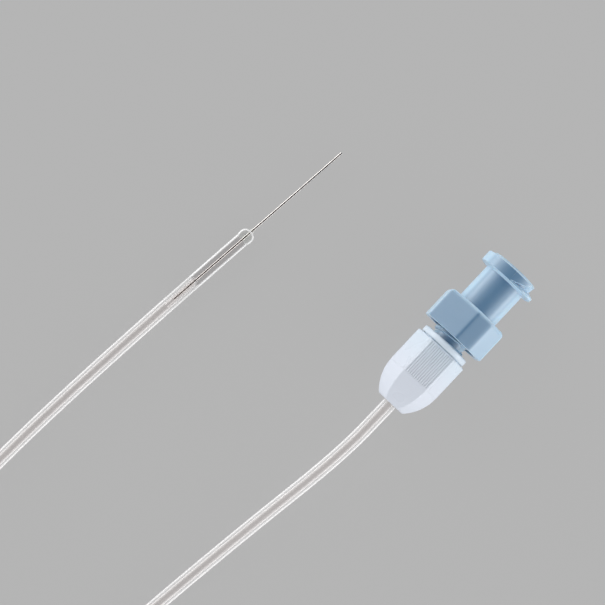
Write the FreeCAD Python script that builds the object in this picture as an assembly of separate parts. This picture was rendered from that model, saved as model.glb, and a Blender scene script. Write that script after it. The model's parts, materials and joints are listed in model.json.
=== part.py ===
import FreeCAD, Part
import math
import os
from FreeCAD import Vector

# Sialography catheter: a fine steel cannula bonded into the tip of a clear tube,
# and a Luer hub that clamps the tube's other end under a screw cap.
# Millimetres. X runs along the hub towards its Luer mouth, Z is up, and the part
# lies on Z = 0. The origin is below the middle of the hub and cap.

# Hub and cap, along X from the cap's nose
cap_nose_length = 4.1
cap_body_length = 5.0
cap_groove = 0.1
cap_ring_length = 0.8
neck_gap = 1.0
flange_length = 4.4
barrel_length = 5.1
lug_band = 1.4
rim_lip = 0.3

# Clamp cap
cap_corner_radius = 3.7
cap_nose_radius = 1.95
cap_nose_edge = 0.15
cap_mouth_chamfer = 0.25
cap_ring_radius = 3.33
cap_ring_edge = 0.18
cap_groove_depth = 0.38
rib_pitch = 0.285
rib_width = 0.15
rib_height = 0.07
rib_count = 15
cap_tube_clearance = 0.1
cap_seat_clearance = 0.12
cap_stem_clearance = 0.3

# Screw thread between hub and cap
thread_pitch = 1.2
thread_depth = 0.3
thread_tip_width = 0.25
thread_flank = 0.18
thread_clearance = 0.12
neck_core_radius = 2.15
neck_reach = 3.5
neck_thread_inset = 0.1
cap_thread_inset = 0.6
thread_root_sink = 0.05

# Hub stem and nipple, inside the cap
stem_radius = 1.6
stem_length = 0.9
nipple_radius = 0.75
nipple_length = 1.6
nipple_lead = 0.4
nipple_tip_radius = 0.63
nipple_bore_radius = 0.4

# Flange, barrel and Luer end
flange_corner_radius = 4.9
flange_side_corner_radius = 4.79
flange_side_corner_angle = 117.3
rest_height = 3.95
flange_axial_rounding = 0.3
flange_edge_radius = 0.6
recess_radius = 3.5
recess_depth = 3.0
barrel_radius = 2.84
rim_radius = 3.215
rim_edge = 0.12
lug_radius = 3.9
lug_flank = 0.2
lug_lead = 4.2
lug_front_lead = 2.5
lug_start_width = 0.15
lug_root_sink = 0.3
lug_groove_steps = 6
luer_mouth_radius = 2.15
luer_taper = 0.06
luer_depth = 8.0
fluid_bore_radius = 0.6

# Tube
tube_radius = 0.9
tube_bore_radius = 0.5
flare_wall = 0.42
flare_clearance = 0.08
flare_length = 1.6
flare_cone = 1.0
flare_bore_run = 4.0

# Tip
cannula_radius = 0.175
cannula_bore_radius = 0.09
cannula_inside = 11.2
cannula_outside = 16.3
sleeve_radius = 0.27
sleeve_length = 4.95
sleeve_past_cannula = 1.25
glue_over_sleeve = 0.35
glue_gap = 0.01
bead_radius = 1.07
bead_length = 1.55
bead_end_angle = 20
bead_steps = 3
bead_cone = 0.5
tip_bore_run = 18.0

# Put-away coil
coil_centre = Vector(-75.9, 18.3, 0)
coil_outer_turn = 12.0
coil_inner_turn = 8.3
coil_exit_turn = 11.3
coil_height = 3.6
coil_full_turns = 2.0
coil_entry_angle = -95.7
coil_exit_angle = 92.0
coil_entry_stub = 7.5
coil_exit_stub = 8.5
coil_lead_inset = 0.05

overall_length = (
    cap_nose_length + cap_body_length + cap_groove + cap_ring_length
    + neck_gap + flange_length + barrel_length + lug_band + rim_lip
)
nose_x = -overall_length / 2
shoulder_x = nose_x + cap_nose_length
body_end_x = shoulder_x + cap_body_length
ring_x = body_end_x + cap_groove
mouth_x = ring_x + cap_ring_length
flange_x = mouth_x + neck_gap
barrel_x = flange_x + flange_length
lug_x = barrel_x + barrel_length
lip_x = lug_x + lug_band
luer_x = lip_x + rim_lip
neck_end_x = mouth_x - neck_reach
stem_end_x = neck_end_x - stem_length
nipple_end_x = stem_end_x - nipple_length
axis_z = rest_height
flare_inner = nipple_radius + flare_clearance
flare_outer = flare_inner + flare_wall
flare_end_x = stem_end_x - flare_clearance
flare_foot_x = flare_end_x - flare_length
flare_tip_x = flare_foot_x - flare_cone
sleeve_front = cannula_inside + sleeve_past_cannula - sleeve_length
glue_length = sleeve_front + glue_over_sleeve


def coil_point(angle, radius, height):
    direction = Vector(math.cos(math.radians(angle)), math.sin(math.radians(angle)), 0)
    return coil_centre + direction * radius + Vector(0, 0, height)


def towards(start, target, distance):
    """Point on the way from one point to another, so that a tube and its lead are in line."""
    return start + (target - start).normalize() * distance


# Tube routes: control points of the runs, from the hub to the coil and from the coil to the tip
coil_start = coil_point(coil_entry_angle, coil_outer_turn - coil_lead_inset, tube_radius + coil_lead_inset)
coil_end = coil_point(coil_exit_angle, coil_exit_turn, coil_height - tube_radius - coil_lead_inset)
hub_route = [
    Vector(flare_tip_x, 0, axis_z),
    Vector(-20.0, 0.1, 3.7),
    Vector(-36.0, 2.2, 1.15),
    Vector(-53.0, 4.2, 0.9),
]
hub_route.append(towards(coil_start, hub_route[-1], coil_entry_stub))
tip_route = [
    Vector(-52.0, 30.5, 0.9),
    Vector(-29.0, 29.0, 0.9),
    Vector(-8.95, 26.96, 1.0),
]
tip_route.insert(0, towards(coil_end, tip_route[0], coil_exit_stub))
run_share = 0.45


def along_x(shape):
    """Turn a shape made along Z so that it lies along the hub's axis."""
    shape.rotate(Vector(0, 0, 0), Vector(0, 1, 0), 90)
    shape.translate(Vector(0, 0, axis_z))
    return shape


def turned(outline):
    """Revolve an (x, radius) outline about the hub's axis."""
    points = [Vector(x, 0, axis_z + radius) for x, radius in outline]
    face = Part.Face(Part.makePolygon(points + [points[0]]))
    return face.revolve(Vector(0, 0, axis_z), Vector(1, 0, 0), 360)


def cylinder(start_x, end_x, radius):
    return Part.makeCylinder(radius, end_x - start_x, Vector(start_x, 0, axis_z), Vector(1, 0, 0))


def one_solid(shape):
    """Drop the splitter edges and hand back the single solid."""
    clean = shape.removeSplitter()
    if len(clean.Solids) != 1:
        raise ValueError("expected one solid, got %d" % len(clean.Solids))
    return clean.Solids[0]


def thread_ridge(root_radius, tip_radius, start_x, end_x, phase_x):
    """Right-hand helical ridge whose crest passes the +Z side at phase_x."""
    inward = tip_radius < root_radius
    sink = thread_root_sink if inward else -thread_root_sink
    base_radius = root_radius + sink
    tip_half = thread_tip_width / 2
    base_half = tip_half + abs(base_radius - tip_radius) / thread_depth * thread_flank
    turns = (end_x - start_x) / thread_pitch
    helix = Part.makeHelix(thread_pitch, turns * thread_pitch, base_radius)
    profile = Part.makePolygon([
        Vector(base_radius, 0, -base_half),
        Vector(tip_radius, 0, -tip_half),
        Vector(tip_radius, 0, tip_half),
        Vector(base_radius, 0, base_half),
        Vector(base_radius, 0, -base_half),
    ])
    ridge = Part.Wire(helix.Edges).makePipeShell([profile], True, True)
    start_turn = (start_x - phase_x) / thread_pitch
    ridge.rotate(Vector(0, 0, 0), Vector(0, 0, 1), 360 * start_turn)
    # Z becomes X, and the helix start, on X before, comes to the +Z side
    ridge.rotate(Vector(0, 0, 0), Vector(0, 0, 1), 180)
    ridge = along_x(ridge)
    ridge.translate(Vector(start_x, 0, 0))
    return ridge


def cap_outline_arc(end_height, nose_height):
    """Radius of the nose arc that ends level with the body, for a height at the nose."""
    drop = end_height - nose_height
    reach = cap_nose_length
    return (reach * reach + drop * drop) / (2 * drop)


def cap_profile(end_height, nose_height, mouth_chamfer):
    """Half outline of the nose and body: a nose edge, an arc, a straight side, a chamfer."""
    radius = cap_outline_arc(end_height, nose_height)
    edge_x = nose_x + cap_nose_edge
    edge_drop = radius - math.sqrt(radius ** 2 - (shoulder_x - edge_x) ** 2)
    edge_height = end_height - edge_drop
    middle_x = (edge_x + shoulder_x) / 2
    middle_drop = radius - math.sqrt(radius ** 2 - (shoulder_x - middle_x) ** 2)
    edge = Vector(edge_x, 0, edge_height)
    shoulder = Vector(shoulder_x, 0, end_height)
    arc = Part.Arc(edge, Vector(middle_x, 0, end_height - middle_drop), shoulder).toShape()
    nose = Vector(nose_x, 0, edge_height - cap_nose_edge)
    body_end = Vector(body_end_x - mouth_chamfer, 0, end_height)
    chamfer_end = Vector(body_end_x, 0, end_height - mouth_chamfer)
    return [
        Part.makeLine(Vector(nose_x, 0, 0), nose),
        Part.makeLine(nose, edge),
        arc,
        Part.makeLine(shoulder, body_end),
        Part.makeLine(body_end, chamfer_end),
        Part.makeLine(chamfer_end, Vector(body_end_x, 0, 0)),
        Part.makeLine(Vector(body_end_x, 0, 0), Vector(nose_x, 0, 0)),
    ]


def cap_envelope(grow, mouth_chamfer):
    """Six curved facets that meet in arched corners."""
    corner = cap_corner_radius + grow
    flat = corner * math.cos(math.radians(30))
    nose_flat = (cap_nose_radius + grow) * math.cos(math.radians(30))
    width = 4 * cap_corner_radius
    upper = Part.Face(Part.Wire(cap_profile(flat, nose_flat, mouth_chamfer)))
    body = None
    for index in range(3):
        slab = upper.extrude(Vector(0, width, 0))
        slab.translate(Vector(0, -width / 2, 0))
        lower = slab.mirror(Vector(0, 0, 0), Vector(0, 0, 1))
        slab = slab.fuse(lower).removeSplitter()
        slab.rotate(Vector(0, 0, 0), Vector(1, 0, 0), 60 * index)
        body = slab if body is None else body.common(slab)
    body.translate(Vector(0, 0, axis_z))
    return body


def grip_ribs():
    """Fine axial ribs on the cap's upper and lower facets."""
    shell = cap_envelope(rib_height, cap_mouth_chamfer)
    height = cap_corner_radius + rib_height
    slabs = []
    for index in range(rib_count):
        y = (index - (rib_count - 1) / 2) * rib_pitch
        slab = Part.makeBox(cap_body_length, rib_width, 2 * height, Vector(shoulder_x, y - rib_width / 2, axis_z - height))
        slabs.append(slab)
    return shell.common(Part.makeCompound(slabs))


def clamp_cap():
    envelope = cap_envelope(0, cap_mouth_chamfer)
    groove_radius = cap_ring_radius - cap_groove_depth
    groove = cylinder(body_end_x, ring_x, groove_radius)
    ring = turned([
        (ring_x, 0),
        (ring_x, cap_ring_radius),
        (mouth_x - cap_ring_edge, cap_ring_radius),
        (mouth_x, cap_ring_radius - cap_ring_edge),
        (mouth_x, 0),
    ])
    body = envelope.fuse([groove, ring, *grip_ribs().Solids])
    thread_root = neck_core_radius + thread_depth + thread_clearance
    thread_tip = neck_core_radius + thread_clearance
    tube_hole = tube_radius + cap_tube_clearance
    flare_room = flare_outer + cap_seat_clearance
    stem_room = stem_radius + cap_stem_clearance
    seat_start_x = flare_tip_x
    seat_end_x = flare_foot_x - cap_seat_clearance
    stem_room_x = stem_end_x - cap_stem_clearance
    thread_room_x = neck_end_x - cap_stem_clearance
    cavity = turned([
        (nose_x - 1, 0),
        (nose_x - 1, tube_hole),
        (seat_start_x, tube_hole),
        (seat_end_x, flare_room),
        (stem_room_x, flare_room),
        (stem_room_x, stem_room),
        (thread_room_x, stem_room),
        (thread_room_x, thread_root),
        (mouth_x + 1, thread_root),
        (mouth_x + 1, 0),
    ])
    ridge = thread_ridge(
        thread_root, thread_tip, neck_end_x, mouth_x - cap_thread_inset, flange_x + thread_pitch / 2
    )
    return one_solid(body.cut(cavity).fuse(ridge))


def flange_corners():
    """Hexagon with a corner up, and one more corner in the facet beside it and in the facet opposite."""
    side = (flange_side_corner_radius, flange_side_corner_angle)
    corners = [(flange_corner_radius, 30 + 60 * index) for index in range(6)]
    corners.insert(5, (side[0], side[1] + 180))
    corners.insert(2, side)
    return [
        Vector(flange_x, radius * math.cos(math.radians(a)), axis_z + radius * math.sin(math.radians(a)))
        for radius, a in corners
    ]


def flange():
    """Wrench flange, cut flat below so that the hub lies level, with an open recess towards the cap."""
    corners = flange_corners()
    block = Part.Face(Part.makePolygon(corners + [corners[0]])).extrude(Vector(flange_length, 0, 0))
    reach = 4 * flange_corner_radius
    block = block.cut(Part.makeBox(reach, reach, reach, Vector(-reach / 2, -reach / 2, -reach)))
    axial = [
        edge for edge in block.Edges
        if abs(edge.Vertexes[0].X - edge.Vertexes[-1].X) > flange_length / 2 and edge.Vertexes[0].Z > axis_z / 2
    ]
    block = block.makeFillet(flange_axial_rounding, axial)
    luer_side = [
        edge for edge in block.Edges
        if all(abs(v.X - barrel_x) < 1e-6 for v in edge.Vertexes)
    ]
    block = block.makeFillet(flange_edge_radius, luer_side)
    recess = cylinder(flange_x - 1, flange_x + recess_depth, recess_radius)
    return block.cut(recess)


def lug_groove(turn):
    """Wedge between the two Luer lugs: it widens from a point and runs out at the front."""
    sections = []
    low_radius = rim_radius - lug_root_sink
    high_radius = lug_radius + lug_root_sink
    quarter_slope = lug_flank * (high_radius - low_radius) / (lug_radius - rim_radius) / 4
    start_x = lug_x + lug_start_width
    for index in range(lug_groove_steps + 1):
        angle = 180 * index / lug_groove_steps
        back = min(start_x + lug_front_lead * angle / 360, luer_x)
        front = min(start_x + lug_lead * angle / 360, luer_x) + lug_flank + lug_start_width
        points = [
            (back + quarter_slope, low_radius),
            (front - quarter_slope, low_radius),
            (front + quarter_slope, high_radius),
            (back - quarter_slope, high_radius),
        ]
        corners = [Vector(x, 0, radius) for x, radius in points]
        wire = Part.makePolygon(corners + [corners[0]])
        wire.rotate(Vector(0, 0, 0), Vector(1, 0, 0), angle)
        sections.append(wire)
    groove = Part.makeLoft(sections, True, False)
    groove.rotate(Vector(0, 0, 0), Vector(1, 0, 0), turn)
    groove.translate(Vector(0, 0, axis_z))
    return groove


def luer_lugs():
    """Ring with sloped flanks, split into two helical lugs."""
    ring = turned([
        (lug_x - lug_flank, barrel_radius - lug_root_sink),
        (lug_x, lug_radius),
        (lip_x - lug_flank, lug_radius),
        (lip_x, rim_radius),
        (lip_x, barrel_radius - lug_root_sink),
    ])
    for turn in (0, 180):
        ring = ring.cut(lug_groove(turn))
    return ring


def luer_hub():
    neck = turned([
        (neck_end_x, 0),
        (neck_end_x, neck_core_radius - thread_flank),
        (neck_end_x + thread_flank, neck_core_radius),
        (flange_x + recess_depth, neck_core_radius),
        (flange_x + recess_depth, 0),
    ])
    stem = cylinder(stem_end_x, neck_end_x, stem_radius)
    nipple = turned([
        (nipple_end_x, 0),
        (nipple_end_x, nipple_tip_radius),
        (nipple_end_x + nipple_lead, nipple_radius),
        (stem_end_x, nipple_radius),
        (stem_end_x, 0),
    ])
    barrel = cylinder(barrel_x - flange_edge_radius, lug_x, barrel_radius)
    rim = turned([
        (lug_x, 0),
        (lug_x, rim_radius),
        (luer_x - rim_edge, rim_radius),
        (luer_x, rim_radius - rim_edge),
        (luer_x, 0),
    ])
    ridge = thread_ridge(
        neck_core_radius, neck_core_radius + thread_depth,
        neck_end_x + neck_thread_inset + thread_flank, flange_x + thread_pitch / 4, flange_x
    )
    body = flange().fuse([neck, stem, nipple, barrel, rim])
    body = body.fuse(luer_lugs()).fuse(ridge)
    socket_end = luer_mouth_radius - luer_taper / 2 * luer_depth
    socket_x = luer_x - luer_depth
    bore = turned([
        (nipple_end_x - 1, 0),
        (nipple_end_x - 1, nipple_bore_radius),
        (stem_end_x, nipple_bore_radius),
        (stem_end_x, fluid_bore_radius),
        (socket_x, fluid_bore_radius),
        (socket_x, socket_end),
        (luer_x, luer_mouth_radius),
        (luer_x + 1, luer_mouth_radius),
        (luer_x + 1, 0),
    ])
    return one_solid(body.cut(bore))


def route_edges(points, name):
    """Straight runs joined by tangent arcs, each as large as its two runs allow."""
    edges = []
    start = points[0]
    radii = []
    for before, corner, after in zip(points, points[1:], points[2:]):
        to_corner = (corner - before).normalize()
        from_corner = (after - corner).normalize()
        turn = to_corner.getAngle(from_corner)
        shorter = min((corner - before).Length, (after - corner).Length)
        reach = run_share * shorter
        radius = reach / math.tan(turn / 2)
        arc_start = corner - to_corner * reach
        arc_end = corner + from_corner * reach
        inward = (from_corner - to_corner).normalize()
        middle = corner + inward * (radius / math.cos(turn / 2) - radius)
        edges.append(Part.LineSegment(start, arc_start).toShape())
        edges.append(Part.Arc(arc_start, middle, arc_end).toShape())
        radii.append(round(radius, 1))
        start = arc_end
    edges.append(Part.LineSegment(start, points[-1]).toShape())
    print(name, "arc radii", radii)
    return edges


def swept(points, radius, name):
    """Solid round rod along a route; the tubes stay plain but for the bores at their ends."""
    edges = route_edges(points, name)
    path = Part.Wire(edges)
    section = Part.Wire(Part.makeCircle(radius, points[0], points[1] - points[0]))
    rod = path.makePipeShell([section], True, False)
    expected = math.pi * radius ** 2 * path.Length
    print(name, "length", round(path.Length, 2), "volume", round(rod.Volume, 3), "section x length", round(expected, 3))
    return rod


def hub_tube():
    """Tube from the flare on the nipple to the coil."""
    rod = swept(hub_route, tube_radius, "hub tube")
    flare = turned([
        (flare_tip_x, 0),
        (flare_tip_x, tube_radius),
        (flare_foot_x, flare_outer),
        (flare_end_x, flare_outer),
        (flare_end_x, 0),
    ])
    bore = turned([
        (flare_tip_x - flare_bore_run, 0),
        (flare_tip_x - flare_bore_run, tube_bore_radius),
        (flare_tip_x, tube_bore_radius),
        (flare_foot_x, flare_inner),
        (flare_end_x + 1, flare_inner),
        (flare_end_x + 1, 0),
    ])
    return one_solid(rod.fuse(flare).cut(bore))


def tip_direction():
    return (tip_route[-1] - tip_route[-2]).normalize()


def at_tip(shape):
    """Place a shape made along Z, with the tube's end at its origin, at the tip."""
    turn = FreeCAD.Rotation(Vector(0, 0, 1), tip_direction())
    shape.Placement = FreeCAD.Placement(tip_route[-1], turn).multiply(shape.Placement)
    return shape


def tip_tube():
    """Tube from the coil to the bonded tip."""
    rod = swept(tip_route, tube_radius, "tip tube")
    bore = Part.makeCylinder(tube_bore_radius, tip_bore_run, Vector(0, 0, -tip_bore_run))
    return one_solid(rod.cut(at_tip(bore)))


def turned_z(outline):
    points = [Vector(radius, 0, z) for z, radius in outline]
    face = Part.Face(Part.makePolygon(points + [points[0]]))
    return face.revolve(Vector(0, 0, 0), Vector(0, 0, 1), 360)


def cannula():
    length = cannula_inside + cannula_outside
    start = Vector(0, 0, -cannula_inside)
    tube = Part.makeCylinder(cannula_radius, length, start)
    return at_tip(tube.cut(Part.makeCylinder(cannula_bore_radius, length, start)))


def cannula_sleeve():
    """Short liner that centres the cannula's rear end."""
    start = Vector(0, 0, -sleeve_front - sleeve_length)
    tube = Part.makeCylinder(sleeve_radius, sleeve_length, start)
    return at_tip(tube.cut(Part.makeCylinder(cannula_radius + glue_gap, sleeve_length, start)))


def tip_adhesive():
    """Clear adhesive that fills the bore's end and stands out of it as a bead."""
    plug = Part.makeCylinder(tube_bore_radius - glue_gap, glue_length, Vector(0, 0, -glue_length))
    bead_outline = []
    for index in range(bead_steps + 1):
        angle = math.radians(bead_end_angle + (180 - 2 * bead_end_angle) * index / bead_steps)
        z = bead_length / 2 * (1 - math.cos(angle) / math.cos(math.radians(bead_end_angle)))
        bead_outline.append((z, bead_radius * math.sin(angle)))
    cone_end = bead_length + bead_cone
    outline = [
        (glue_gap, 0),
        (glue_gap, bead_outline[0][1]),
        *bead_outline[1:],
        (cone_end, cannula_radius + 3 * glue_gap),
        (cone_end, 0),
    ]
    bead = turned_z(outline)
    body = plug.fuse(Part.makeCylinder(tube_bore_radius - glue_gap, glue_gap * 2)).fuse(bead)
    start = Vector(0, 0, -glue_length)
    hole = Part.makeCylinder(cannula_radius + glue_gap, glue_length + cone_end, start)
    pocket = Part.makeCylinder(sleeve_radius + glue_gap, glue_over_sleeve + glue_gap, start)
    return at_tip(one_solid(body.cut(hole).cut(pocket)))


def tube_coil():
    """Closed outer shape of the wound turns, with the lead-in and lead-out."""
    inner = coil_inner_turn - tube_radius
    outer = coil_outer_turn + tube_radius
    ring = Part.makeCylinder(outer, coil_height, coil_centre)
    ring = ring.cut(Part.makeCylinder(inner, coil_height, coil_centre))
    lead_in = Part.makeCylinder(tube_radius, coil_entry_stub, hub_route[-1], coil_start - hub_route[-1])
    lead_out = Part.makeCylinder(tube_radius, coil_exit_stub, tip_route[0], coil_end - tip_route[0])
    return one_solid(ring.fuse([lead_in, lead_out]))


def coil_length():
    """Length of tube in the turns: a flat spiral inwards, then a part turn outwards on top."""
    part_turn = (coil_entry_angle - coil_exit_angle) % 360 / 360
    flat = coil_full_turns * math.pi * (coil_outer_turn + coil_inner_turn)
    top = part_turn * math.pi * (coil_inner_turn + coil_exit_turn)
    return flat + top


makers = {
    "luer_hub": luer_hub,
    "clamp_cap": clamp_cap,
    "hub_tube": hub_tube,
    "tube_coil": tube_coil,
    "tip_tube": tip_tube,
    "tip_adhesive": tip_adhesive,
    "cannula": cannula,
    "cannula_sleeve": cannula_sleeve,
}

os.makedirs("parts", exist_ok=True)
for name, make in makers.items():
    shape = make()
    if not shape.isValid():
        raise ValueError(name + " is not a valid solid")
    shape.exportStep(os.path.join("parts", name + ".step"))
    box = shape.optimalBoundingBox(True, False)
    print(name, "volume", round(shape.Volume, 3), "faces", len(shape.Faces),
          "box", [round(v, 3) for v in (box.XMin, box.XMax, box.YMin, box.YMax, box.ZMin, box.ZMax)])
print("tube in the coil", round(coil_length(), 1))
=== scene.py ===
import bpy, bmesh, json, math
from mathutils import Vector, Matrix

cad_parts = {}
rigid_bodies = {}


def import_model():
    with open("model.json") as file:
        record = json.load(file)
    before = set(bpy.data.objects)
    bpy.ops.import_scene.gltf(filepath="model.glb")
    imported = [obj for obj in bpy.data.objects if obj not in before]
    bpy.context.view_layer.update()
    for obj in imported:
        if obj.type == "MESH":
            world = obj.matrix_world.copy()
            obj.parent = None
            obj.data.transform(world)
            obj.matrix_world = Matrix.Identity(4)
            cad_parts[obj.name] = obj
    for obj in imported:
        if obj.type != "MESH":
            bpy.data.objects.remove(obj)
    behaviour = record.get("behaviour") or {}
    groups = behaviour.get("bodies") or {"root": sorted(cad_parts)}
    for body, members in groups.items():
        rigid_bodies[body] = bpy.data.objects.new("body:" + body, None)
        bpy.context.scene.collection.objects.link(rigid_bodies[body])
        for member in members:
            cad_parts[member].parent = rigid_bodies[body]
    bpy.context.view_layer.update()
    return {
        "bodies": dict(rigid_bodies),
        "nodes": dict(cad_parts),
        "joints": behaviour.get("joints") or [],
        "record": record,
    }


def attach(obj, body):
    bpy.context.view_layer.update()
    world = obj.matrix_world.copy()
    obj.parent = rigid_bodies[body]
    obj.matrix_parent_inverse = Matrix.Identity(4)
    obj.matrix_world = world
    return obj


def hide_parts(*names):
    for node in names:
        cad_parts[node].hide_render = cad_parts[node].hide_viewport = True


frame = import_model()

scene = bpy.context.scene
scene.view_settings.view_transform = "Standard"
mm = 0.001
nodes = frame["nodes"]
print("frame loaded:", sorted(nodes))

# camera, straight down as in the picture
shot = {
    "centre": (-9.5, 16.2),     # what the middle of the picture shows, on the floor
    "height": 203.95,
    "turn": -46.8,
    "lens": 97.6,
}
camData = bpy.data.cameras.new("camera")
camData.sensor_width = 36
camData.lens = shot["lens"]
camData.clip_start = 0.01
camera = bpy.data.objects.new("camera", camData)
camera.location = (shot["centre"][0] * mm, shot["centre"][1] * mm, shot["height"] * mm)
camera.rotation_euler = (0, 0, math.radians(shot["turn"]))
scene.collection.objects.link(camera)
scene.camera = camera
print("camera placed")


# mesh helpers
def pieceFrom(name, verts, faces, mats, smooth=40, kinds=None):
    mesh = bpy.data.meshes.new(name)
    mesh.from_pydata([tuple(v) for v in verts], [], faces)
    if kinds:
        mesh.polygons.foreach_set("material_index", kinds)
    mesh.validate()
    bm = bmesh.new()
    bm.from_mesh(mesh)
    bmesh.ops.recalc_face_normals(bm, faces=bm.faces)
    for face in bm.faces:
        face.smooth = True
    for edge in bm.edges:
        if len(edge.link_faces) == 2 and edge.calc_face_angle(0) > math.radians(smooth):
            edge.smooth = False
    bm.to_mesh(mesh)
    bm.free()
    obj = bpy.data.objects.new(name, mesh)
    scene.collection.objects.link(obj)
    for mat in mats:
        mesh.materials.append(mat)
    return obj


# points read from one smooth spline with the route as its control points
def lineThrough(points, stepsPerPoint=12):
    curve = bpy.data.curves.new("line", "CURVE")
    curve.dimensions = "3D"
    spline = curve.splines.new("NURBS")
    spline.points.add(len(points) - 1)
    for place, point in zip(spline.points, points):
        place.co = (*point, 1)
    spline.order_u = 3
    spline.use_endpoint_u = True
    spline.resolution_u = stepsPerPoint
    holder = bpy.data.objects.new("line", curve)
    scene.collection.objects.link(holder)
    bpy.context.view_layer.update()
    mesh = bpy.data.meshes.new_from_object(holder.evaluated_get(bpy.context.evaluated_depsgraph_get()))
    line = [v.co.copy() for v in mesh.vertices]
    bpy.data.objects.remove(holder)
    bpy.data.curves.remove(curve)
    bpy.data.meshes.remove(mesh)
    return line


# each point with two directions across the line, carried along without twist
def framesAlong(line):
    tangents = []
    for i, point in enumerate(line):
        ahead = line[min(i + 1, len(line) - 1)]
        behind = line[max(i - 1, 0)]
        tangents.append((ahead - behind).normalized())
    side = tangents[0].orthogonal().normalized()
    frames = []
    for point, tangent in zip(line, tangents):
        side = (side - tangent * side.dot(tangent)).normalized()
        frames.append((point, side, tangent.cross(side)))
    return frames


def arcLengths(line):
    lengths = [0.0]
    for a, b in zip(line, line[1:]):
        lengths.append(lengths[-1] + (b - a).length)
    return lengths


# place and direction at a distance along the line, straight on past its ends
def along(line, lengths, distance):
    i = 0
    while i < len(lengths) - 2 and lengths[i + 1] < distance:
        i += 1
    direction = (line[i + 1] - line[i]).normalized()
    return line[i] + direction * (distance - lengths[i]), direction


# the tube's route: the hub's clamp, the long run, the put-away coil, and back to the bonded tip
route = {
    "fromHub": [
        (-5.58, 0, 3.95), (-12.0, 0, 3.95), (-20.0, 0.1, 3.7), (-36.0, 2.2, 1.15), (-53.0, 4.2, 0.9),
        (-69.7, 5.69, 0.93),
    ],
    "coilCentre": (-75.9, 18.3),
    "coilFrom": -95.7,
    "coilTurns": 2.479,
    "turnPoints": 14,
    "wide": 11.95,
    "narrow": 8.3,
    "topWide": 11.3,
    "low": 0.95,
    "high": 2.65,
    "toTip": [(-67.9, 29.9, 2.05), (-52.0, 30.5, 0.9), (-29.0, 29.0, 0.9), (-8.95, 26.96, 1.0)],
}


def coilPoints():
    points = []
    count = round(route["turnPoints"] * route["coilTurns"])
    for i in range(count + 1):
        turns = route["coilTurns"] * i / count
        angle = math.radians(route["coilFrom"] - 360 * turns)
        if turns < 2:
            radius = route["wide"] + (route["narrow"] - route["wide"]) * turns / 2
            height = route["low"]
        else:
            part = (turns - 2) / (route["coilTurns"] - 2)
            radius = route["narrow"] + (route["topWide"] - route["narrow"]) * max(0, (part - 0.45) / 0.55)
            height = route["low"] + (route["high"] - route["low"]) * min(1, part / 0.45)
        stretch = 1 / math.cos(math.pi / route["turnPoints"])
        x, y = route["coilCentre"]
        out = radius * stretch
        points.append((x + out * math.cos(angle), y + out * math.sin(angle), height))
    return points


routePoints = [Vector(p) * mm for p in route["fromHub"] + coilPoints() + route["toTip"]]
tubeLine = lineThrough(routePoints)
tubeLengths = arcLengths(tubeLine)
print("tube line: %d points, %.1f mm" % (len(tubeLine), tubeLengths[-1] / mm))

tube = {
    "radius": 0.9,
    "bore": 0.5,
    "flareOuter": 1.25,
    "flareInner": 0.83,
    "flareLength": 1.6,
    "flareCone": 1.0,
    "sides": 48,
    "meniscus": 7.85,           # how far behind the tube's end the adhesive stops
    "meniscusSlant": 0.33,
    "endRounding": 0.05,
}


def boreRadius(s):
    t = min(1, max(0, (s / mm - tube["flareLength"]) / tube["flareCone"]))
    return tube["flareInner"] + (tube["bore"] - tube["flareInner"]) * t


def outerRadius(s):
    t = min(1, max(0, (s / mm - tube["flareLength"]) / tube["flareCone"]))
    return tube["flareOuter"] + (tube["radius"] - tube["flareOuter"]) * t


def tubeMesh(mats):
    frames = framesAlong(tubeLine)
    sides = tube["sides"]
    verts, faces, kinds = [], [], []

    def ring(frame, radius, slant=0):
        point, side, up = frame
        ahead = side.cross(up)
        start = len(verts)
        for k in range(sides):
            a = 2 * math.pi * k / sides
            out = side * math.cos(a) + up * math.sin(a)
            verts.append(point + out * radius * mm + ahead * slant * mm * out.y)
        return start

    def bridge(a, b, kind):
        for k in range(sides):
            n = (k + 1) % sides
            faces.append((a + k, a + n, b + n, b + k))
            kinds.append(kind)

    endLength = tubeLengths[-1]
    bonded = endLength - tube["meniscus"] * mm
    outer, kindAfter = [], []
    for i in range(len(frames) - 1):
        if tubeLengths[i] >= bonded and 2 not in kindAfter:
            kindAfter.append(2)
            bondStart = along(tubeLine, tubeLengths, bonded)[0]
            outer.append(ring((bondStart, frames[i][1], frames[i][2]), tube["radius"]))
        outer.append(ring(frames[i], outerRadius(tubeLengths[i])))
        kindAfter.append(2 if tubeLengths[i] >= bonded else 0)
    last = frames[-1]
    ahead = last[1].cross(last[2])
    shy = (last[0] - ahead * tube["endRounding"] * mm, last[1], last[2])
    outer.append(ring(shy, tube["radius"]))
    outer.append(ring(last, tube["radius"] - tube["endRounding"]))
    kindAfter += [2, 2]
    for a, b, kind in zip(outer, outer[1:], kindAfter):
        bridge(a, b, kind)
    faces.append(tuple(outer[-1] + k for k in range(sides)))
    kinds.append(2)
    stop = bonded - (tube["meniscusSlant"] + 0.3) * mm
    inner = [ring(frames[i], boreRadius(tubeLengths[i])) for i in range(len(frames)) if tubeLengths[i] < stop]
    point, direction = along(tubeLine, tubeLengths, bonded)
    inner.append(ring((point, last[1], last[2]), tube["bore"], tube["meniscusSlant"]))
    for a, b in zip(inner, inner[1:]):
        bridge(b, a, 1)
    faces.append(tuple(inner[-1] + k for k in reversed(range(sides))))
    kinds.append(1)
    bridge(inner[0], outer[0], 1)
    return pieceFrom("tube", verts, faces, mats, kinds=kinds)


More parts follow.
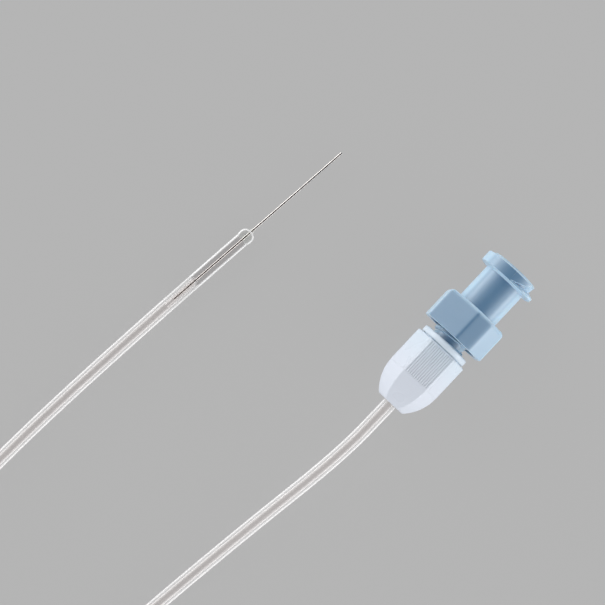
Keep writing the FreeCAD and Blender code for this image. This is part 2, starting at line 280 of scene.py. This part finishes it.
# shader maths: an expression on values adds its nodes
class Value:
    def __init__(self, paint, socket):
        self.paint = paint
        self.socket = socket

    def maths(self, operation, *others, clamp=False):
        settings = {"operation": operation, "use_clamp": clamp}
        return self.paint.node("ShaderNodeMath", settings, [self, *others])

    def __add__(self, other):
        return self.maths("ADD", other)

    def __sub__(self, other):
        return self.maths("SUBTRACT", other)

    def __mul__(self, other):
        return self.maths("MULTIPLY", other)

    def __truediv__(self, other):
        return self.maths("DIVIDE", other)

    def __radd__(self, other):
        return self + other

    def __rmul__(self, other):
        return self * other

    def __rsub__(self, other):
        return self.paint.number("SUBTRACT", other, self)

    def __rtruediv__(self, other):
        return self.paint.number("DIVIDE", other, self)

    def fraction(self):
        return self.maths("FRACT")

    def size(self):
        return self.maths("ABSOLUTE")

    def clamped(self):
        return self.maths("ADD", 0, clamp=True)

    # 0 below low, 1 above high, smooth between
    def step(self, low, high):
        settings = {"interpolation_type": "SMOOTHSTEP"}
        return self.paint.node("ShaderNodeMapRange", settings, [self, low, high, 0, 1])


class Paint:
    def __init__(self, name, world=None):
        holder = world or bpy.data.materials.new(name)
        holder.use_nodes = True
        self.holder = holder
        self.tree = holder.node_tree
        self.tree.nodes.clear()

    # any node: its type, its settings, then the values or links of its sockets
    def node(self, kind, settings=None, inputs=(), out=0):
        made = self.tree.nodes.new(kind)
        for key, value in (settings or {}).items():
            if key == "stops":
                self.setStops(made.color_ramp, value)
            else:
                setattr(made, key, value)
        pairs = inputs.items() if isinstance(inputs, dict) else enumerate(inputs)
        for key, value in pairs:
            if value is None:
                continue
            if isinstance(value, Value):
                self.tree.links.new(value.socket, made.inputs[key])
            else:
                made.inputs[key].default_value = value
        return Value(self, made.outputs[out])

    def setStops(self, ramp, stops):
        while len(ramp.elements) < len(stops):
            ramp.elements.new(1.0)
        for element, (where, tone) in zip(ramp.elements, stops):
            element.position = where
            element.color = rgb(tone, tone, tone)
        ramp.interpolation = "EASE"

    def ramp(self, value, stops):
        return self.node("ShaderNodeValToRGB", {"stops": stops}, [value])

    # 0 where the surface faces the eye, 1 at its rim; the materials below use it to paint edge sheen,
    # highlight lines and reflections
    def rim(self):
        return self.node("ShaderNodeLayerWeight", {}, {"Blend": 0.5}, out=1)

    def number(self, operation, a, b):
        return self.node("ShaderNodeMath", {"operation": operation}, [a, b])

    def place(self):
        return self.node("ShaderNodeTexCoord", out=3)

    def noise(self, place, scale, detail=2.0, roughness=0.5):
        sockets = {"Vector": place, "Scale": scale, "Detail": detail, "Roughness": roughness}
        return self.node("ShaderNodeTexNoise", {}, sockets)

    def mixed(self, factor, a, b, blend="MIX"):
        made = self.tree.nodes.new("ShaderNodeMix")
        made.data_type = "RGBA"
        made.blend_type = blend
        for key, value in ((0, factor), (6, a), (7, b)):
            if isinstance(value, Value):
                self.tree.links.new(value.socket, made.inputs[key])
            else:
                made.inputs[key].default_value = value
        return Value(self, made.outputs[2])

    def xyz(self, vector):
        parts = self.tree.nodes.new("ShaderNodeSeparateXYZ")
        self.tree.links.new(vector.socket, parts.inputs[0])
        return [Value(self, socket) for socket in parts.outputs]

    def bump(self, height, strength, distance):
        return self.node("ShaderNodeBump", {}, {"Height": height, "Strength": strength, "Distance": distance})

    def surface(self, shader):
        ending = "World" if isinstance(self.holder, bpy.types.World) else "Material"
        out = self.tree.nodes.new("ShaderNodeOutput" + ending)
        self.tree.links.new(shader.socket, out.inputs[0])
        return self.holder


def rgb(r, g, b):
    return (r, g, b, 1)


# materials
def hubPlastic():
    paint = Paint("hubPlastic")
    place = paint.place()
    grain = paint.noise(place, 900, 3)
    cloud = paint.noise(place, 160, 2)
    tone = paint.mixed(cloud.step(0.3, 0.7), rgb(0.105, 0.215, 0.350), rgb(0.112, 0.225, 0.360))
    # painted sheen: the base colour turns pale blue towards the rims, standing in for the side lamps' light
    # caught at grazing angles
    paintedRimSheenStops = [(0.0, 0.0), (0.03, 0.02), (0.13, 0.19), (0.3, 0.6), (0.5, 1.0), (1.0, 1.0)]
    paintedRimSheen = paint.ramp(paint.rim(), paintedRimSheenStops)
    return paint.surface(paint.node("ShaderNodeBsdfPrincipled", {}, {
        "Base Color": paint.mixed(paintedRimSheen, tone, rgb(0.50, 0.675, 0.825)),
        "Roughness": 0.28 + grain * 0.06,
        "IOR": 1.5,
        "Specular IOR Level": 0.8,
        "Subsurface Weight": 0.2,
        "Subsurface Radius": (0.5, 0.8, 1.0),
        "Subsurface Scale": 0.0008,
        "Normal": paint.bump(grain, 0.08, 0.00001),
    }))


# the cap's fine ribs, for its mesh and for the painted shade in the grooves between them
ribs = {
    "count": 15,
    "pitch": 0.285,
    "halfWidth": 0.26,          # of the pitch
    "reach": 2.1,
    "from": -7.0,
    "to": -2.3,
    "fade": 0.3,
    "shade": 0.2,
}


def capPlastic():
    paint = Paint("capPlastic")
    place = paint.place()
    cloud = paint.noise(place, 220, 2)
    x, y, z = paint.xyz(place)
    across = y / (ribs["pitch"] * mm) + 0.5
    # painted shade: the grooves between the ribs are coloured darker, where shade would fall
    paintedGrooveShade = (across.fraction() - 0.5).size().step(ribs["halfWidth"] - 0.05, ribs["halfWidth"] + 0.1)
    ribbed = y.size().step(ribs["reach"] * mm + 0.0001, ribs["reach"] * mm)
    start, stop, fade = ribs["from"] * mm, ribs["to"] * mm, ribs["fade"] * mm
    length = x.step(start - fade, start + fade) * x.step(stop + fade, stop)
    white = paint.mixed(cloud, rgb(0.69, 0.735, 0.82), rgb(0.70, 0.745, 0.83))
    # painted see-through: bluer towards the mouth, standing in for the blue hub's light coming through the
    # milky cap
    paintedHubBlueCast = paint.mixed(x.step(-7.5 * mm, -1.5 * mm), white, rgb(0.66, 0.75, 0.84))
    return paint.surface(paint.node("ShaderNodeBsdfPrincipled", {}, {
        "Base Color": paint.mixed(paintedGrooveShade * ribbed * length * ribs["shade"], paintedHubBlueCast, rgb(0.58, 0.66, 0.74)),
        "Roughness": 0.25 + cloud * 0.06,
        "IOR": 1.5,
    }))


# clear plastic: see-through where it faces the eye, with painted highlight lines where its walls are seen
# edge on, standing in for the side lamps' light refracted by the walls
def clearWall(name, stops, tint, edgeHighlightColour):
    paint = Paint(name)
    cloud = paint.noise(paint.place(), 300, 2)
    through = paint.node("ShaderNodeBsdfTransparent", {}, [tint])
    paintedEdgeHighlight = paint.node("ShaderNodeBsdfPrincipled", {}, {
        "Base Color": paint.mixed(cloud, edgeHighlightColour, rgb(0.96, 0.96, 0.97)),
        "Roughness": 0.2,
        "IOR": 1.5,
    })
    edges = paint.ramp(paint.rim(), stops)
    return paint.surface(paint.node("ShaderNodeMixShader", {}, [edges, through, paintedEdgeHighlight]))


clearHighlightStops = {
    "outer": [(0.0, 0.0), (0.17, 0.06), (0.35, 0.26), (0.52, 0.75), (0.76, 0.5), (1.0, 0.3)],
    "bore": [(0.0, 0.0), (0.1, 0.06), (0.36, 0.26), (0.6, 0.5), (0.8, 0.95), (1.0, 0.95)],
    "bonded": [(0.0, 0.0), (0.24, 0.0), (0.36, 0.4), (0.5, 0.95), (0.8, 0.97), (1.0, 0.7)],
    "bead": [(0.0, 0.0), (0.3, 0.04), (0.43, 0.5), (0.56, 0.95), (0.85, 0.95), (1.0, 0.7)],
}


def drawnSteel():
    paint = Paint("drawnSteel")
    place = paint.place()
    lines = paint.noise(place, 2500, 2)
    # painted reflection: the base colour is dark where the steel faces the eye and bright at its sides,
    # standing in for the dark sky overhead and the side lamps mirrored in it; the noise adds drawing lines
    paintedBrightReflection = paint.mixed(lines, rgb(0.85, 0.82, 0.79), rgb(0.95, 0.92, 0.89))
    sides = paint.ramp(paint.rim(), [(0.0, 0.0), (0.08, 0.05), (0.22, 0.9), (1.0, 1.0)])
    return paint.surface(paint.node("ShaderNodeBsdfPrincipled", {}, {
        "Base Color": paint.mixed(sides, rgb(0.07, 0.055, 0.055), paintedBrightReflection),
        "Metallic": 1.0,
        "Roughness": 0.10 + lines * 0.06,
    }))


def clearSleeve():
    paint = Paint("clearSleeve")
    cloud = paint.noise(paint.place(), 400, 2)
    return paint.surface(paint.node("ShaderNodeBsdfPrincipled", {}, {
        "Base Color": rgb(0.93, 0.93, 0.93),
        "Roughness": 0.1 + cloud * 0.05,
        "IOR": 1.4,
        # painted highlight lines: the pale sleeve shows only at its rims, standing in for the side lamps'
        # light refracted at its walls
        "Alpha": paint.ramp(paint.rim(), [(0.0, 0.03), (0.4, 0.1), (0.6, 0.9), (1.0, 0.95)]),
    }))


finishes = {
    "hub": hubPlastic(),
    "cap": capPlastic(),
    "tube": clearWall("clearTube", clearHighlightStops["outer"], rgb(0.995, 0.99, 0.987), rgb(0.97, 0.97, 0.97)),
    "bore": clearWall("tubeBore", clearHighlightStops["bore"], rgb(0.985, 0.967, 0.962), rgb(0.98, 0.98, 0.98)),
    "bonded": clearWall("bondedTube", clearHighlightStops["bonded"], rgb(0.88, 0.87, 0.87), rgb(0.95, 0.95, 0.95)),
    "bead": clearWall("beadClear", clearHighlightStops["bead"], rgb(0.92, 0.925, 0.915), rgb(0.95, 0.95, 0.95)),
    "steel": drawnSteel(),
    "sleeve": clearSleeve(),
}
print("materials made")

# pieces
tubePiece = tubeMesh([finishes["tube"], finishes["bore"], finishes["bonded"]])
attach(tubePiece, "catheter")
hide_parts("hub_tube", "tube_coil", "tip_tube")

bead = {
    "start": 0.015,
    "outline": [(0.0, 0.9), (0.15, 0.935), (0.4, 0.972), (0.65, 0.98), (0.9, 0.94), (1.12, 0.84), (1.3, 0.68),
                (1.42, 0.46), (1.47, 0.30), (1.58, 0.235), (1.75, 0.205), (1.95, 0.185)],
    "hole": 0.176,
    "sides": 48,
}


def beadMesh(mats):
    point, direction = along(tubeLine, tubeLengths, tubeLengths[-1])
    side = direction.orthogonal().normalized()
    up = direction.cross(side)
    sides = bead["sides"]
    outline = [(0.0, bead["hole"])] + bead["outline"] + [(bead["outline"][-1][0], bead["hole"])]
    verts, faces = [], []
    for distance, radius in outline:
        for k in range(sides):
            a = 2 * math.pi * k / sides
            out = side * math.cos(a) + up * math.sin(a)
            verts.append(point + direction * (bead["start"] + distance) * mm + out * radius * mm)
    for row in range(len(outline)):
        after = (row + 1) % len(outline)
        for k in range(sides):
            n = (k + 1) % sides
            faces.append((row * sides + k, row * sides + n, after * sides + n, after * sides + k))
    return pieceFrom("adhesiveBead", verts, faces, mats)


beadPiece = beadMesh([finishes["bead"]])
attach(beadPiece, "catheter")
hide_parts("tip_adhesive")
print("tube and bead made")

# closed piece from rings about the hub's axis: a radius for every angle, and one place along the axis
# or one for every angle
def ringPiece(name, rings, angles, mats, smooth):
    axis = screw["axis"]
    verts, faces = [], []
    for places, radii in rings:
        if isinstance(places, float):
            places = [places] * len(angles)
        for x, angle, radius in zip(places, angles, radii):
            verts.append((x * mm, -radius * math.sin(angle) * mm, (axis + radius * math.cos(angle)) * mm))
    count = len(angles)
    for row in range(len(rings)):
        after = (row + 1) % len(rings)
        for k in range(count):
            n = (k + 1) % count
            faces.append((row * count + k, row * count + n, after * count + n, after * count + k))
    return pieceFrom(name, verts, faces, mats, smooth)


def share(value, low, high):
    return min(1, max(0, (value - low) / (high - low)))


def soft(value, low, high):
    part = share(value, low, high)
    return part * part * (3 - 2 * part)


def evenly(start, stop, step):
    count = round((stop - start) / step)
    return [start + (stop - start) * i / count for i in range(count + 1)]


# the screw thread that hub and cap share
screw = {
    "axis": 3.95,
    "pitch": 1.2,
    "depth": 0.3,
    "tip": 0.25,
    "flank": 0.18,
    "fade": 0.3,
    "step": 0.04,
}


def threadHeight(x, angle, phase, start, stop):
    place = (x - phase) / screw["pitch"] - angle / (2 * math.pi)
    away = abs(place - round(place)) * screw["pitch"]
    ends = share(x, start - screw["fade"], start) * share(stop + screw["fade"] - x, 0, screw["fade"])
    return screw["depth"] * (1 - soft(away, screw["tip"] / 2, screw["tip"] / 2 + screw["flank"])) * ends


# the hub, as rings of radii from its nipple to the Luer mouth and back through the bore
hub = {
    "sides": 288,
    "nipple": [(-7.1, 0.4), (-7.1, 0.63), (-6.7, 0.75), (-5.5, 0.75), (-5.5, 1.6), (-4.6, 1.6), (-4.6, 1.97)],
    "neck": 2.15,
    "neckFrom": -4.42,
    "threadPhase": -0.1,
    "threadFrom": -4.32,
    "threadTo": 0.3,
    "recess": 3.5,
    "recessDepth": 3.0,
    "flangeFrom": -0.1,
    "flangeTo": 4.3,
    "corner": 4.9,
    "sideCorner": (4.79, 117.3),
    "cornerSharpness": 70,
    "flangeRounding": 0.6,
    "barrel": [(4.3, 3.1), (4.33, 2.97), (4.42, 2.87), (4.55, 2.84), (9.0, 2.84), (9.15, 2.84)],
    "lug": 3.9,
    "lugFoot": (9.2, 10.95),
    "lugFlank": 0.17,
    "lugEdge": 0.05,            # rounding of the crest's edges
    "wedges": [                 # back and front edge of the gap after each quarter of its half turn
        [(9.5, 9.5), (9.92, 11.6), (11.2, 12.6)],
        [(9.5, 9.5), (11.0, 11.9), (12.5, 13.0)],
    ],
    "floor": (2.84, 3.215),     # the gap's depth at its start and at the mouth
    "mouth": [
        (11.02, 3.215), (11.08, 3.17), (11.1, 3.08), (11.1, 2.15), (3.1, 1.91), (3.1, 0.6), (-5.5, 0.6),
        (-5.5, 0.4),
    ],
}


# direction and distance of each flat side of the flange, seen along the hub
def flangeSides():
    radius, angle = hub["sideCorner"]
    corners = [(30 + 60 * i, hub["corner"]) for i in range(6)] + [(angle, radius), (angle + 180, radius)]
    places = [(r * math.cos(math.radians(a)), r * math.sin(math.radians(a))) for a, r in sorted(corners)]
    sides = []
    for (ay, az), (by, bz) in zip(places, places[1:] + places[:1]):
        long = math.hypot(by - ay, bz - az)
        ny, nz = (bz - az) / long, (ay - by) / long
        sides.append((ny, nz, ay * ny + az * nz))
    return sides + [(0, -1, screw["axis"])]


def flangeRadius(angle, inset):
    y, z = -math.sin(angle), math.cos(angle)
    sharpness = hub["cornerSharpness"]
    total = sum(max(0, (y * ny + z * nz) / (far - inset)) ** sharpness for ny, nz, far in hub["flats"])
    return total ** (-1 / sharpness)


# two helical lugs: a wedge between them widens from a point and runs out at the front
def lugProfile(angle):
    foot, end = hub["lugFoot"]
    flank, edge = hub["lugFlank"], hub["lugEdge"]
    half, turned = divmod(math.degrees(angle) / 90, 2)
    quarter, part = min(1, int(turned)), turned - min(1, int(turned))
    wedge = hub["wedges"][int(half) % 2]
    back, front = (a + (b - a) * part for a, b in zip(wedge[quarter], wedge[quarter + 1]))

    def height(x):
        base = hub["floor"][0] + (hub["floor"][1] - hub["floor"][0]) * share(x, foot, end)
        ring = min(share(x, foot, foot + flank), share(end - x, 0, flank))
        gap = min(share(x, back, back + flank), share(front - x, 0, flank))
        raised = max(0, min(ring, 1 - gap))
        return base + (hub["lug"] - base) * raised

    crest = end - flank
    limit = end if back < crest else crest
    shifts = (-edge, 0, edge)
    gapPlaces = [x + shift for x in (back, front) for shift in shifts] + [back + flank, front - flank]
    ringPlaces = [x + shift for x in (foot + flank, crest) for shift in shifts] + [foot, end]
    places = sorted([min(limit, x) for x in gapPlaces] + ringPlaces)
    return places, [(height(x - edge / 2) + height(x + edge / 2)) / 2 for x in places]


def hubMesh(mats):
    hub["flats"] = flangeSides()
    sides = hub["sides"]
    angles = [2 * math.pi * k / sides for k in range(sides)]

    def plain(x, radius):
        return x, [radius] * sides

    def flanged(x, inset):
        return x, [flangeRadius(a, inset) for a in angles]

    start, stop = hub["threadFrom"], hub["threadTo"]
    rings = [plain(x, r) for x, r in hub["nipple"]]
    for x in evenly(hub["neckFrom"], stop + screw["fade"], screw["step"]):
        rings.append((x, [hub["neck"] + threadHeight(x, a, hub["threadPhase"], start, stop) for a in angles]))
    face = hub["flangeFrom"]
    floor = face + hub["recessDepth"]
    rings += [plain(floor, hub["neck"]), plain(floor, hub["recess"]), plain(face + 0.1, hub["recess"]),
              plain(face, hub["recess"] + 0.06)]
    rings += [flanged(face + lift, inset) for lift, inset in ((0, 0.1), (0.03, 0.03), (0.1, 0))]
    curve = hub["flangeRounding"]
    for i in range(9):
        bend = math.pi / 2 * i / 8
        rings.append(flanged(hub["flangeTo"] - curve + curve * math.sin(bend), curve * (1 - math.cos(bend))))
    rings += [plain(x, r) for x, r in hub["barrel"]]
    profiles = [lugProfile(a) for a in angles]
    for i in range(len(profiles[0][0])):
        rings.append(([places[i] for places, radii in profiles], [radii[i] for places, radii in profiles]))
    rings += [plain(x, r) for x, r in hub["mouth"]]
    return ringPiece("hub", rings, angles, mats, smooth=30)


hubPiece = hubMesh([finishes["hub"]])
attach(hubPiece, "hub")
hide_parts("luer_hub")
print("hub made: %d faces" % len(hubPiece.data.polygons))

# the clamp cap: six curved flats that draw in to the nose, fine ribs on the upper and lower ones
cap = {
    "nose": -11.1,
    "shoulder": -7.0,
    "bodyEnd": -2.0,
    "corner": 3.7,
    "noseCorner": 1.95,
    "noseEdge": 0.15,
    "noseSteps": 18,
    "sharpness": 80,
    "bodyEdge": 0.16,
    "bodyRounding": [(0.07, 0.03), (0.13, 0.08), (0.16, 0.16)],
    "ledge": 0.025,
    "ribTop": 0.10,
    "ribFoot": 0.20,
    "ribHeight": 0.08,
    "ribRun": 0.06,
    "plainFrom": 40,            # degrees from the top where the ribbed part ends
    "plainStep": 2.5,
    "hole": 1.0,
    "ring": [
        (-2.0, 2.95), (-1.9, 2.95), (-1.9, 3.26), (-1.85, 3.33), (-1.28, 3.33), (-1.16, 3.28), (-1.1, 3.15),
    ],
    "threadRoot": 2.57,
    "threadPhase": 0.5,
    "threadFrom": -4.6,
    "threadTo": -1.7,
    "cavity": [(-4.9, 2.57), (-4.9, 1.9), (-5.8, 1.9), (-5.8, 1.37), (-7.3, 1.37), (-8.18, 1.0)],
}


# angle of a place across the body, and whether a rib stands there
def capColumns():
    flat = cap["corner"] * math.cos(math.radians(30))
    top, foot = cap["ribTop"] / 2, cap["ribFoot"] / 2
    upper = []
    for i in range(-(ribs["count"] // 2), ribs["count"] // 2 + 1):
        middle = i * ribs["pitch"]
        for away, high in ((-foot, 0), (-top, 1), (top, 1), (foot, 0)):
            y = middle + away
            height = min(flat, 2 * flat - abs(y) * math.sqrt(3))
            upper.append((math.atan2(y, height), high))
    side = [(math.radians(a), 0) for a in evenly(cap["plainFrom"], 180 - cap["plainFrom"], cap["plainStep"])]
    columns = upper + side
    return columns + [(a + math.pi, high) for a, high in columns]


def capRadius(flat, angle):
    total = sum(max(0, math.cos(angle - math.pi / 3 * i)) ** cap["sharpness"] for i in range(6))
    return flat * total ** (-1 / cap["sharpness"])


def capMesh(mats):
    columns = capColumns()
    angles = [a for a, high in columns]
    flat = cap["corner"] * math.cos(math.radians(30))
    noseFlat = cap["noseCorner"] * math.cos(math.radians(30))
    reach = cap["shoulder"] - cap["nose"]
    curve = (reach ** 2 + (flat - noseFlat) ** 2) / (2 * (flat - noseFlat))

    def flatAt(x):
        return flat - curve + math.sqrt(curve ** 2 - (cap["shoulder"] - x) ** 2)

    def shaped(x, distance, rib=0):
        return x, [capRadius(distance, a) + rib * high for a, high in columns]

    def plain(x, radius):
        return x, [radius] * len(angles)

    edge = cap["noseEdge"]
    rings = [plain(cap["nose"], cap["hole"]), shaped(cap["nose"], flatAt(cap["nose"] + edge) - edge)]
    for x in evenly(cap["nose"] + edge, cap["shoulder"], reach / cap["noseSteps"]):
        rings.append(shaped(x, flatAt(x)))
    body = flat + cap["ledge"]
    begin, end = cap["shoulder"] + 0.03, cap["bodyEnd"] - cap["bodyEdge"]
    rings += [shaped(begin, body), shaped(begin + cap["ribRun"], body, cap["ribHeight"]),
              shaped(end - cap["ribRun"], body, cap["ribHeight"]), shaped(end, body)]
    rings += [shaped(end + lift, body - inset) for lift, inset in cap["bodyRounding"]]
    rings += [plain(x, r) for x, r in cap["ring"]]
    start, stop = cap["threadFrom"], cap["threadTo"]
    for x in reversed(evenly(start - screw["fade"] + 0.05, cap["ring"][-1][0], screw["step"])):
        heights = [threadHeight(x, a, cap["threadPhase"], start, stop) for a in angles]
        rings.append((x, [cap["threadRoot"] - height for height in heights]))
    rings += [plain(x, r) for x, r in cap["cavity"]]
    return ringPiece("cap", rings, angles, mats, smooth=80)


capPiece = capMesh([finishes["cap"]])
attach(capPiece, "cap")
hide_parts("clamp_cap")
print("cap made: %d faces" % len(capPiece.data.polygons))

for node, finish, slot in (("cannula", "steel", "steel"), ("cannula_sleeve", "sleeve", "sleeve_plastic")):
    for holder in nodes[node].material_slots:
        holder.material = finishes[finish]

# floor, sky and lamps
stage = {
    "reach": 1.5,
    "below": 2e-5,
    "grey": 0.439,
    "lit": 0.85,
    "shown": 0.93,              # share of the floor's colour that is there whatever falls on it
    "sky": 2.2,
    "skyStops": [(0.0, 1.0), (0.26, 0.98), (0.5, 0.8), (0.71, 0.58), (0.87, 0.32), (0.95, 0.18), (1.0, 0.12)],
    "skyEnds": 0.3,             # how bright the sky is towards the hub's two ends
    "distance": 0.4,
    "lamps": [                  # direction in the floor's plane, lift, tall and wide in degrees, radiance
        (90, 13, 22, 60, 1.5),
        (-90, 13, 22, 60, 1.5),
    ],
}


def floorPaint():
    paint = Paint("floor")
    path = paint.tree.nodes.new("ShaderNodeLightPath")
    camera, glossy, through = (Value(paint, path.outputs[n]) for n in
                               ("Is Camera Ray", "Is Glossy Ray", "Is Transmission Ray"))
    seen = (camera + glossy + through).clamped() * stage["shown"]
    grey = stage["grey"]
    lit = paint.node("ShaderNodeBsdfDiffuse", {}, [rgb(stage["lit"], stage["lit"], stage["lit"])])
    own = paint.node("ShaderNodeEmission", {}, [rgb(grey, grey, grey), 1.0])
    return paint.surface(paint.node("ShaderNodeMixShader", {}, [seen, lit, own]))


floorMesh = bpy.data.meshes.new("floor")
corners = [(sideX * stage["reach"], sideY * stage["reach"], -stage["below"])
           for sideX, sideY in ((-1, -1), (1, -1), (1, 1), (-1, 1))]
floorMesh.from_pydata(corners, [], [(0, 1, 2, 3)])
floorMesh.materials.append(floorPaint())
floor = bpy.data.objects.new("floor", floorMesh)
scene.collection.objects.link(floor)


def skyPaint():
    world = bpy.data.worlds.new("sky")
    scene.world = world
    paint = Paint("sky", world)
    x, y, z = paint.xyz(paint.node("ShaderNodeTexCoord", out=0))
    ramp = paint.ramp(z, stage["skyStops"])
    ends = stage["skyEnds"]
    sides = (y * y / (x * x + y * y + 0.0001)) * (1 - ends) + ends
    strength = sides * stage["sky"]
    return paint.surface(paint.node("ShaderNodeBackground", {}, [ramp, strength]))


skyPaint()


def lamp(name, direction, lift, tall, wide, radiance):
    far = stage["distance"]
    data = bpy.data.lights.new(name, "AREA")
    data.shape = "RECTANGLE"
    data.size = 2 * far * math.tan(math.radians(wide / 2))
    data.size_y = 2 * far * math.tan(math.radians(tall / 2))
    data.energy = radiance * math.pi * data.size * data.size_y
    obj = bpy.data.objects.new(name, data)
    a, b = math.radians(direction), math.radians(lift)
    out = Vector((math.cos(a) * math.cos(b), math.sin(a) * math.cos(b), math.sin(b)))
    obj.location = out * far
    obj.rotation_euler = out.to_track_quat("Z", "Y").to_euler()
    scene.collection.objects.link(obj)


for i, facts in enumerate(stage["lamps"]):
    lamp("lamp%d" % (i + 1), *facts)
print("stage and lamps set")
